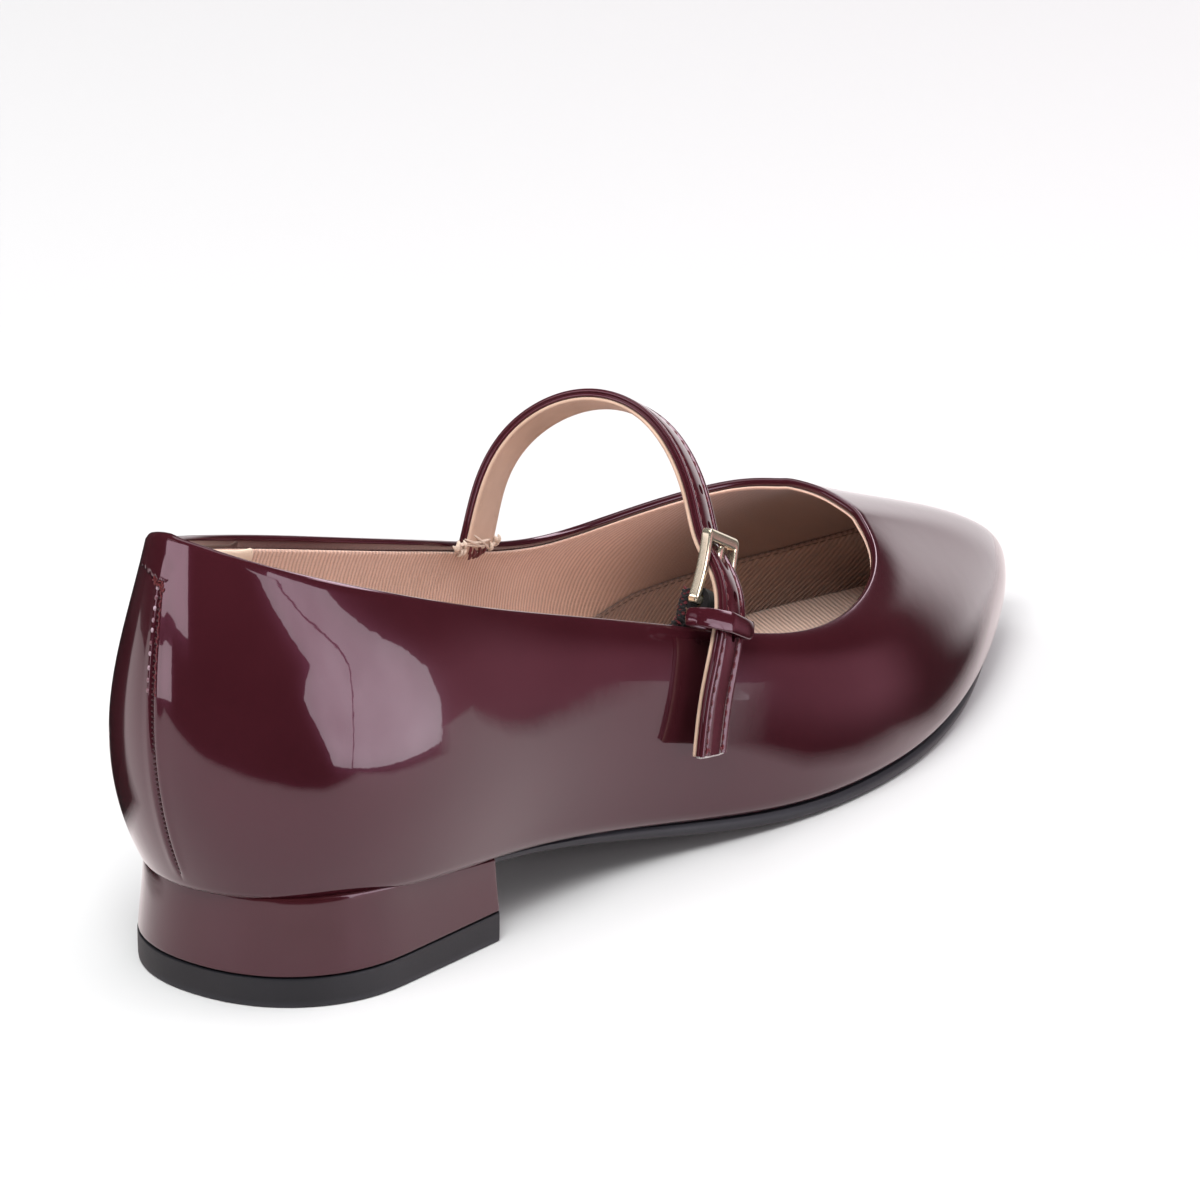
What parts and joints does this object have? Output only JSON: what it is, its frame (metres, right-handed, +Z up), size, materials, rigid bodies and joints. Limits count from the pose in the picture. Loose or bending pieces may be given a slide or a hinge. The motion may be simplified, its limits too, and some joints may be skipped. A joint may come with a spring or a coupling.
{
  "type": "pointed toe flat",
  "caption": "Low-heeled flat for the right foot with a pointed toe, an instep strap closed by a small pin buckle, and a wrapped block heel.",
  "frame": {"origin": "on the floor under the centre of the shoe's bounding box", "axes": "+Y from the toe to the heel, +X to the inner side of the foot, +Z up"},
  "size_m": [0.0762, 0.2578, 0.087],
  "materials": {
    "patent_upper": "burgundy patent, high gloss",
    "insole_cloth": "ribbed beige-pink twill",
    "sole_rubber": "satin near-black",
    "patent_heel": "burgundy patent wrap, gloss",
    "top_piece_rubber": "matt near-black",
    "patent_strap": "burgundy patent with a beige microfibre back",
    "patent_keeper": "burgundy patent, gloss",
    "buckle_metal": "polished pale gold plate",
    "prong_metal": "polished pale gold plate",
    "tab_elastic": "black elastic webbing"
  },
  "bodies": {
    "root": {"upper": "patent_upper", "insole": "insole_cloth", "outsole": "sole_rubber", "heel_block": "patent_heel", "top_piece": "top_piece_rubber", "strap": "patent_strap", "keeper_loop": "patent_keeper", "buckle_frame": "buckle_metal", "buckle_prong": "prong_metal", "buckle_tab": "tab_elastic"}
  },
  "joints": []
}
